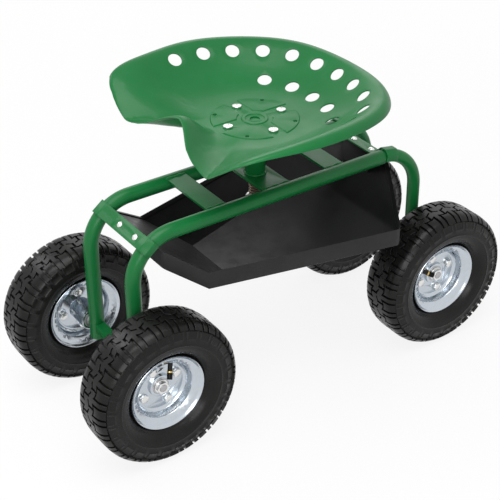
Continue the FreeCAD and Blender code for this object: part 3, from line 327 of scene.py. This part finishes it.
def rounded(piece, edge, angle=SMOOTH_ANGLE, segments=2):
    """Round the sharp edges of a piece with a bevel."""
    only(piece)
    bpy.ops.object.modifier_add(type="BEVEL")
    bevel = piece.modifiers[-1]
    bevel.width = edge
    bevel.segments = segments
    bevel.limit_method = "ANGLE"
    bevel.angle_limit = angle
    bpy.ops.object.modifier_apply(modifier=bevel.name)


def dress(piece, finish, slot, body, *stands_for):
    """Give a piece its finish, its body and the nodes that it stands for. The slot is not used."""
    only(piece)
    bpy.ops.object.shade_smooth_by_angle(angle=SMOOTH_ANGLE)
    piece.data.materials.clear()
    piece.data.materials.append(finish)
    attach(piece, body)
    if stands_for:
        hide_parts(*stands_for)
    return piece


def soft_copy(node, finish, slot, edge, curved=False):
    """A merged copy of a CAD node with its sharp edges rounded; flat faces become one unless it is curved all over."""
    only(nodes[node])
    bpy.ops.object.duplicate()
    piece = bpy.context.object
    piece.name = node + "_dressed"
    for key in list(piece.keys()):
        del piece[key]
    bpy.ops.object.mode_set(mode="EDIT")
    bpy.ops.mesh.select_all(action="SELECT")
    bpy.ops.mesh.remove_doubles(threshold=1e-6)
    if not curved:
        bpy.ops.mesh.dissolve_limited(angle_limit=FLAT_ANGLE)
    bpy.ops.object.mode_set(mode="OBJECT")
    rounded(piece, edge)
    return dress(piece, finish, slot, BODY_OF[node], node)


# %% Painted pieces
PAINTED_EDGE = 0.0006
PAINTED = ("left_rail", "right_rail", "left_rear_leg", "right_rear_leg", "front_end_strap", "rear_end_strap",
           "front_cross_strap", "rear_cross_strap", "seat_plate", "post_socket", "front_axle_beam",
           "rear_axle_beam", "seat_pan", "seat_mount_plate")
for node in PAINTED:
    soft_copy(node, green_paint, "green_paint", PAINTED_EDGE, curved=node == "seat_pan")
print("painted", len(PAINTED), "pieces")

# %% [markdown]
# ## Softer lobes on the pan
# A press can't make a sharp corner in deep-drawn sheet: the front lobes of the real pan are broad and soft. They
# could be sculpted, but strokes are hard to repeat. So the copy of the pan is smoothed a little at each front corner
# and more along the fold that runs inwards from it. Then the corner is drawn forward with a soft falloff, as a hand
# would pull it, so that the lobe's outline stays full and the pan keeps its length.


# %% Select by place
def pick(piece, kind, wanted):
    """Enter edit mode with the vertices or faces that pass a test of their place selected."""
    only(piece)
    bpy.ops.object.mode_set(mode="EDIT")
    bpy.ops.mesh.select_mode(type=kind)
    bpy.ops.mesh.select_all(action="DESELECT")
    bpy.ops.object.mode_set(mode="OBJECT")
    if kind == "VERT":
        for vertex in piece.data.vertices:
            vertex.select = wanted(vertex.co)
    else:
        for face in piece.data.polygons:
            face.select = wanted(face.center)
    bpy.ops.object.mode_set(mode="EDIT")


def near(place, reach):
    """A test for spots this near to a place on either side of the pan."""
    return lambda spot: (Vector((spot.x, abs(spot.y), spot.z)) - place).length < reach


# %% The pan's front lobes
LOBE_CORNER = Vector((-0.165, 0.130, 0.466))
LOBE_FOLD = Vector((-0.118, 0.094, 0.468))
SMOOTHING = (  # place, reach, rounds
    (LOBE_CORNER, 0.070, 9), (LOBE_CORNER, 0.048, 13), (LOBE_CORNER, 0.030, 16),
    (LOBE_FOLD, 0.052, 30), (LOBE_FOLD, 0.042, 40),
)
LOBE_TIP = 0.012
LOBE_PULL = 0.004
LOBE_REACH = 0.036
pan = bpy.data.objects["seat_pan_dressed"]
for spot, reach, rounds in SMOOTHING:
    pick(pan, "VERT", near(spot, reach))
    bpy.ops.mesh.vertices_smooth(factor=0.5, repeat=rounds)
    bpy.ops.object.mode_set(mode="OBJECT")
pick(pan, "VERT", near(LOBE_CORNER, LOBE_TIP))
bpy.ops.transform.translate(value=(-LOBE_PULL, 0, 0), use_proportional_edit=True,
                            proportional_edit_falloff="SMOOTH", proportional_size=LOBE_REACH)
bpy.ops.object.mode_set(mode="OBJECT")
print("the pan reaches forward to", round(min(v.co.x for v in pan.data.vertices), 4))

# %% [markdown]
# ## The tool tray
# The tray is one moulding with two surfaces. It could be split in two pieces, but it is one thing and stays one: its
# outer sides, which face away from its middle and stand upright, get the second finish face by face. That finish is
# paler, partly for the real grain and partly as painted light, and the darker inside is painted shade.

# %% Tool tray
TRAY_EDGE = 0.0014
STEEPEST = 0.8
tray = soft_copy("tool_tray", plastic, "black_plastic", TRAY_EDGE)
tray.data.materials.append(lit_grained)
tray_low, tray_high = (Vector(corner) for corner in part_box("tool_tray"))
tray_middle = (tray_low + tray_high) / 2
# the upright outer faces take the paler finish, partly real grain and partly painted light
for face in tray.data.polygons:
    outward = face.normal.to_2d().dot((face.center - tray_middle).to_2d())
    if abs(face.normal.z) < STEEPEST and outward > 0:
        face.material_index = 1
print("lit_grained", sum(face.material_index for face in tray.data.polygons), "of", len(tray.data.polygons), "tray faces")

# %% [markdown]
# ## Axles, fasteners and the wheels' metal
# These are turned, pressed or bought parts that the CAD part already has, down to the nuts. Copies serve here too,
# with a finer bevel, since a turned edge is broken by only a fraction of a millimetre.

# %% Steel and zinc pieces
STEEL_EDGE = 0.0003
WHEELS = {  # axle end x, tyre middle y, turn in degrees
    "front_left": (-0.283, -0.13375, -22), "front_right": (-0.283, 0.13375, 40),
    "rear_left": (0.283, -0.13375, 60), "rear_right": (0.283, 0.13375, -75),
}
STEEL = {
    axle_steel: ("axle_steel", ("front_axle", "rear_axle", "axle_spacers")),
    bolt_zinc: ("bolt_zinc", ("axle_washers", "axle_lock_nuts", "tray_bolts", "tray_nuts", "seat_bolts", "seat_nuts",
                              "stop_bolt", "stop_washer")),
}
for finish, (slot, members) in STEEL.items():
    for node in members:
        soft_copy(node, finish, slot, STEEL_EDGE)
WHEEL_FINISHES = {
    "rim_outer": (rim_zinc, "zinc"), "rim_inner": (rim_zinc, "zinc"), "hub": (rim_zinc, "zinc"),
    "bearings": (axle_steel, "bearing_steel"), "rim_bolts": (bolt_zinc, "bolt_zinc"),
    "valve_cap": (plastic, "cap_plastic"), "inner_tube": (rubber, "tube_rubber"),
}
for wheel in WHEELS:
    for piece, (finish, slot) in WHEEL_FINISHES.items():
        soft_copy(f"{wheel}_{piece}", finish, slot, STEEL_EDGE)
print("dressed the axles, the fasteners and the wheels' metal")

# %% [markdown]
# ## Building new pieces
# The tread, the screw's thread, the welds and the valves' brass rings are finer than the CAD part needs, so they
# are modelled here. A round one could start from a cylinder, but a section is easier to draw. It starts as a line of
# points: a plane merged to one point, which is extruded along the section and spun about an axis.


# %% Helpers for new pieces
def drawn_line(name, points):
    """One mesh line through points, made by extruding a single vertex."""
    bpy.ops.object.select_all(action="DESELECT")
    bpy.ops.mesh.primitive_plane_add(size=0.01)
    piece = bpy.context.object
    piece.name = name
    bpy.ops.object.mode_set(mode="EDIT")
    bpy.ops.mesh.select_mode(type="VERT")
    bpy.ops.mesh.select_all(action="SELECT")
    bpy.ops.mesh.merge(type="CENTER")
    bpy.ops.transform.translate(value=points[0])
    for start, end in zip(points, points[1:]):
        step = [b - a for a, b in zip(start, end)]
        bpy.ops.mesh.extrude_region_move(TRANSFORM_OT_translate={"value": step})
    return piece


def lathe(name, section, steps):
    """Spin a section, given as radii and places along Y, about the Y axis."""
    piece = drawn_line(name, [(radius, along, 0) for radius, along in section])
    bpy.ops.mesh.select_all(action="SELECT")
    bpy.ops.mesh.spin(steps=steps, angle=2 * math.pi, center=(0, 0, 0), axis=(0, 1, 0))
    bpy.ops.mesh.select_all(action="SELECT")
    bpy.ops.mesh.remove_doubles(threshold=1e-5)
    bpy.ops.mesh.normals_make_consistent(inside=False)
    bpy.ops.object.mode_set(mode="OBJECT")
    return piece


def set_in_place(piece, place, turn=(0, 0, 0)):
    """Move and turn a piece, then leave its origin at the world's."""
    only(piece)
    piece.location = place
    piece.rotation_euler = turn
    bpy.ops.object.transform_apply(location=True, rotation=True, scale=True)


# %% [markdown]
# ## The tyres
# A pneumatic tyre is moulded in one piece. Its grooves could be cut with a Boolean for each, but hundreds of cuts are
# slow and leave poor faces. So its section, outside and lining, is spun into a hollow carcass with a strip of faces
# for each row of the tread. The rows' edges are pushed to and fro so that the grooves zigzag, and then the blocks are
# raised by extruding the faces between the grooves. Eight steps of the spin make one pitch of the pattern.

# %% One tyre's carcass
PITCHES = 26
PITCH_STEPS = 8
HALF_SECTION = [
    (0.1226, 0.0015), (0.1226, 0.0070), (0.1226, 0.0125), (0.1225, 0.0150), (0.1222, 0.0210), (0.1213, 0.0270),
    (0.1188, 0.0315), (0.1145, 0.0355), (0.1085, 0.0384), (0.1020, 0.0402), (0.0955, 0.0408), (0.0925, 0.0407),
    (0.0921, 0.0412), (0.0911, 0.0412), (0.0907, 0.0405), (0.0880, 0.0402),
    (0.0810, 0.0382), (0.0755, 0.0344), (0.0722, 0.0300), (0.0690, 0.0260), (0.0630, 0.0215), (0.0560, 0.0202),
    (0.0516, 0.0170),
]
HALF_LINING = [
    (0.0516, 0.0146), (0.0570, 0.0176), (0.0650, 0.0190), (0.0715, 0.0235), (0.0752, 0.0276), (0.0785, 0.0312),
    (0.0830, 0.0340), (0.0885, 0.0357), (0.0955, 0.0363), (0.1020, 0.0357), (0.1085, 0.0335), (0.1135, 0.0295),
    (0.1165, 0.0235), (0.1176, 0.0140), (0.1178, 0.0050),
]


def other_side(half):
    """The same half of a section, mirrored and walked the other way."""
    return [(radius, -along) for radius, along in reversed(half)]


section = other_side(HALF_SECTION) + HALF_SECTION + HALF_LINING + other_side(HALF_LINING)
tyre = lathe("tyre", section + section[:1], PITCHES * PITCH_STEPS)
print("carcass:", len(tyre.data.polygons), "faces")

# %% Zigzag grooves
STEP_ANGLE = 2 * math.pi / (PITCHES * PITCH_STEPS)
GROOVE_EDGES = (0.0015, 0.0125, 0.0150)
ZIGZAG = (0.0021, 0.0021, 0.0021, 0.0005, -0.0021, -0.0021, -0.0021, -0.0005)


def steps_round(spot):
    """How many steps of the spin a spot is from the X axis."""
    return (math.atan2(-spot.z, spot.x) % (2 * math.pi)) / STEP_ANGLE


for phase, shift in enumerate(ZIGZAG):
    pick(tyre, "VERT", lambda spot: round(steps_round(spot)) % PITCH_STEPS == phase
         and any(abs(abs(spot.y) - edge) < 0.0002 for edge in GROOVE_EDGES))
    bpy.ops.transform.translate(value=(0, shift, 0))
    bpy.ops.object.mode_set(mode="OBJECT")
print("grooves swing by", max(ZIGZAG), "to each side")

# %% Tread blocks
BLOCK_HEIGHT = 0.0043
MIDDLE_ROW = (0.0020, 0.0118)
SHOULDER_ROW = (0.0160, 0.0345)
OUTERMOST = 0.0330
CROWN_FOOT = 0.1182
SHOULDER_FOOT = 0.1150


def in_block(spot):
    """Whether a face of the crown belongs to a block: one to a pitch in the middle rows, two at the shoulders."""
    row = abs(spot.y)
    radius = math.hypot(spot.x, spot.z)
    on_crown = radius > CROWN_FOOT or (radius > SHOULDER_FOOT and row > OUTERMOST)
    if not on_crown or not any(inner < row < outer for inner, outer in (MIDDLE_ROW, SHOULDER_ROW)):
        return False
    shoulder = row > SHOULDER_ROW[0]
    gaps = (0, 5) if shoulder else (0,)
    stagger = PITCH_STEPS // 4 * (2 * (spot.y < 0) + shoulder)
    return (int(steps_round(spot)) + stagger) % PITCH_STEPS not in gaps


pick(tyre, "FACE", in_block)
bpy.ops.mesh.extrude_region_shrink_fatten(TRANSFORM_OT_shrink_fatten={"value": BLOCK_HEIGHT})
bpy.ops.object.mode_set(mode="OBJECT")
tread_radius = max(math.hypot(v.co.x, v.co.z) for v in tyre.data.vertices)
print("tread stands at", round(tread_radius, 4))

# %% Side wall marks
MARK_RADII = (0.1022, 0.1135)
WALL_INSIDE = 0.035
MARK_STEPS = range(1, 7)
MARK_RELIEF = 0.0010
TREAD_EDGE = 0.0005
TREAD_ANGLE = math.radians(50)


def in_mark(spot):
    """Whether a face of the side wall belongs to one of the raised marks under the shoulder blocks."""
    high_on_wall = MARK_RADII[0] < math.hypot(spot.x, spot.z) < MARK_RADII[1] and abs(spot.y) > WALL_INSIDE
    return high_on_wall and int(steps_round(spot)) % PITCH_STEPS in MARK_STEPS


pick(tyre, "FACE", in_mark)
bpy.ops.mesh.inset(thickness=0.0004, depth=MARK_RELIEF)
bpy.ops.mesh.inset(thickness=0.0020, depth=-MARK_RELIEF)
bpy.ops.object.mode_set(mode="OBJECT")
rounded(tyre, TREAD_EDGE, TREAD_ANGLE, segments=1)
print("the tyre has", len(tyre.data.polygons), "faces")

# %% A tyre for each wheel
AXLE_HEIGHT = 0.127
for wheel, (x, y, spin) in WHEELS.items():
    only(tyre)
    bpy.ops.object.duplicate()
    copy = bpy.context.object
    copy.name = wheel + "_tyre_tread"
    facing = math.pi if y < 0 else 0.0
    set_in_place(copy, (x, y, AXLE_HEIGHT), (0, math.radians(spin), facing))
    dress(copy, rubber, "tyre", wheel + "_wheel", wheel + "_tyre")
bpy.data.objects.remove(tyre)
print("tyres on", list(WHEELS))

# %% [markdown]
# ## Cross recesses in the seat bolts
# The seat bolts are driven by a cross-shaped bit. A bump could only pretend the recess, so it is cut: a small square
# block, drawn out from its four sides, makes a cutter of that shape, and a Boolean takes it out of each head.

# %% Cross recesses
HEAD_RADIUS = 0.008
RECESS_WIDTH = 0.0018
RECESS_ARM = 0.0024
RECESS_DEPTH = 0.0012
bolt_low, bolt_high = (Vector(corner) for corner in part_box("seat_bolts"))
bolt_middle = (bolt_low + bolt_high) / 2
bolt_circle = bolt_high.y - bolt_middle.y - HEAD_RADIUS
bolts = bpy.data.objects["seat_bolts_dressed"]
for quarter in range(4):
    across = Vector((math.cos(quarter * math.pi / 2), math.sin(quarter * math.pi / 2), 0))
    head = Vector((bolt_middle.x, bolt_middle.y, bolt_high.z)) + across * bolt_circle
    bpy.ops.object.select_all(action="DESELECT")
    bpy.ops.mesh.primitive_cube_add(size=1.0)
    cutter = bpy.context.object
    cutter.scale = (RECESS_WIDTH, RECESS_WIDTH, 2 * RECESS_DEPTH)
    set_in_place(cutter, head)
    pick(cutter, "FACE", lambda centre: abs(centre.z - head.z) < RECESS_DEPTH / 2)
    bpy.ops.mesh.extrude_faces_move(TRANSFORM_OT_shrink_fatten={"value": RECESS_ARM})
    bpy.ops.mesh.select_all(action="SELECT")
    bpy.ops.mesh.normals_make_consistent(inside=False)
    bpy.ops.object.mode_set(mode="OBJECT")
    only(bolts)
    bpy.ops.object.modifier_add(type="BOOLEAN")
    recess = bolts.modifiers[-1]
    recess.operation = "DIFFERENCE"
    recess.object = cutter
    bpy.ops.object.modifier_apply(modifier=recess.name)
    bpy.data.objects.remove(cutter)
print("cut recesses on a circle of", round(bolt_circle, 4), "and the bolts have", len(bolts.data.polygons), "faces")

# %% [markdown]
# ## The screw post
# A thread is a small section turned round an axis while it climbs. A helix curve with a bevel would give a round wire
# rather than a thread. So a line with the section of one turn is swept by a Screw modifier, and the ragged ends are
# cut off square and closed.

# %% Sweep the thread
POST_X = -0.006
THREAD_PITCH = 0.005
THREAD_ROOT = 0.0094
THREAD_CREST = 0.0109
THREAD_STEPS = 32
SPARE_TURNS = 2
POST_FOOT, POST_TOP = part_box("screw_post")[0][2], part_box("screw_post")[1][2]
turns = math.ceil((POST_TOP - POST_FOOT) / THREAD_PITCH)
one_turn = [(THREAD_ROOT, 0, 0), (THREAD_CREST, 0, 0.0015), (THREAD_CREST, 0, 0.0025), (THREAD_ROOT, 0, 0.0040),
            (THREAD_ROOT, 0, THREAD_PITCH)]
thread = drawn_line("screw_post_thread", one_turn)
bpy.ops.object.mode_set(mode="OBJECT")
bpy.ops.object.modifier_add(type="SCREW")
sweep = thread.modifiers[-1]
sweep.screw_offset = THREAD_PITCH
sweep.iterations = turns + SPARE_TURNS
sweep.steps = THREAD_STEPS
sweep.render_steps = THREAD_STEPS
sweep.use_merge_vertices = True
sweep.merge_threshold = 1e-5
bpy.ops.object.modifier_apply(modifier=sweep.name)
set_in_place(thread, (POST_X, 0, POST_FOOT - THREAD_PITCH))
print("swept", turns + SPARE_TURNS, "turns")

# %% Cut the thread's ends square
bpy.ops.object.mode_set(mode="EDIT")
for level, upward in ((POST_FOOT, True), (POST_TOP, False)):
    bpy.ops.mesh.select_all(action="SELECT")
    bpy.ops.mesh.bisect(plane_co=(0, 0, level), plane_no=(0, 0, 1), use_fill=True, threshold=1e-6,
                        clear_inner=upward, clear_outer=not upward)
bpy.ops.mesh.select_all(action="SELECT")
bpy.ops.mesh.remove_doubles(threshold=1e-6)
bpy.ops.mesh.normals_make_consistent(inside=False)
bpy.ops.object.mode_set(mode="OBJECT")
dress(thread, screw_steel, "screw_steel", "seat", "screw_post")
print("thread of", turns, "turns, from", round(POST_FOOT, 4), "to", round(POST_TOP, 4))

# %% [markdown]
# ## Weld beads
# A welder lays a row of small overlapping pools. A bevelled curve along the joint would look like cord, because its
# width never changes. Here each pool is a ball, a little larger or smaller than the last; the row is joined and
# remeshed into one lumpy skin, as paint over a weld looks.

# %% A weld bead
BEAD = 0.0026
BEAD_STEP = 1.2 * BEAD
BEAD_VOXEL = 0.3


def weld_bead(name, spots, size):
    """A row of overlapping balls along the spots, joined into one skin."""
    bpy.ops.object.select_all(action="DESELECT")
    balls = []
    for count, spot in enumerate(spots):
        radius = size * (0.95 + 0.2 * math.sin(7.3 * count))
        bpy.ops.mesh.primitive_ico_sphere_add(subdivisions=2, radius=radius, location=spot)
        balls.append(bpy.context.object)
    for ball in balls:
        ball.select_set(True)
    bead = balls[0]
    bpy.context.view_layer.objects.active = bead
    bpy.ops.object.join()
    bead.name = name
    bpy.ops.object.transform_apply(location=True, rotation=True, scale=True)
    bpy.ops.object.modifier_add(type="REMESH")
    skin = bead.modifiers[-1]
    skin.mode = "VOXEL"
    skin.voxel_size = size * BEAD_VOXEL
    bpy.ops.object.modifier_apply(modifier=skin.name)
    dress(bead, green_paint, "green_paint", "frame")
    bpy.ops.object.shade_smooth()


# %% Welds round the socket and along the bars
RING_COUNT = 40
PLATE_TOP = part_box("seat_plate")[1][2]
SOCKET_RADIUS = (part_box("post_socket")[1][1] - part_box("post_socket")[0][1]) / 2
ring = [(POST_X + SOCKET_RADIUS * math.cos(2 * math.pi * i / RING_COUNT),
         SOCKET_RADIUS * math.sin(2 * math.pi * i / RING_COUNT), PLATE_TOP) for i in range(RING_COUNT)]
weld_bead("socket_weld", ring, BEAD)
for bar in ("front_cross_strap", "rear_cross_strap", "seat_plate"):
    low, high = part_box(bar)
    count = round((high[0] - low[0]) / BEAD_STEP)
    for side, edge in (("left", low[1]), ("right", high[1])):
        run = [(low[0] + (i + 0.5) / count * (high[0] - low[0]), edge, high[2]) for i in range(count)]
        weld_bead(f"{bar}_{side}_weld", run, BEAD)

# %% [markdown]
# ## Valve rings
# Each valve has a brass collar between its rubber stem and its cap. A squashed torus would be close, but a turned ring
# has flat ends and broken corners, so its section is spun. It is spun once and copied to each wheel; its place and
# lean come from the cap that the CAD part already has there.

# %% Brass collars
VALVE_LEAN = math.radians(24)
CAP_HALF = 0.006
COLLAR_SECTION = [(0.0030, -0.0012), (0.0047, -0.0012), (0.0049, -0.0006), (0.0049, 0.0006), (0.0047, 0.0012),
                  (0.0030, 0.0012), (0.0030, -0.0012)]
collar = lathe("collar", COLLAR_SECTION, steps=24)
for wheel, (x, y, _) in WHEELS.items():
    low, high = (Vector(corner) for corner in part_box(wheel + "_valve_cap"))
    cap = (low + high) / 2
    spoke = Vector((cap.x - x, 0, cap.z - AXLE_HEIGHT)).normalized()
    outward = Vector((0, math.copysign(1, y), 0))
    stem = outward * math.sin(VALVE_LEAN) - spoke * math.cos(VALVE_LEAN)
    only(collar)
    bpy.ops.object.duplicate()
    copy = bpy.context.object
    copy.name = wheel + "_valve_collar"
    set_in_place(copy, cap - stem * CAP_HALF, stem.to_track_quat("Y", "Z").to_euler())
    dress(copy, brass, "bolt_zinc", wheel + "_wheel")
bpy.data.objects.remove(collar)
print("collars on", list(WHEELS))
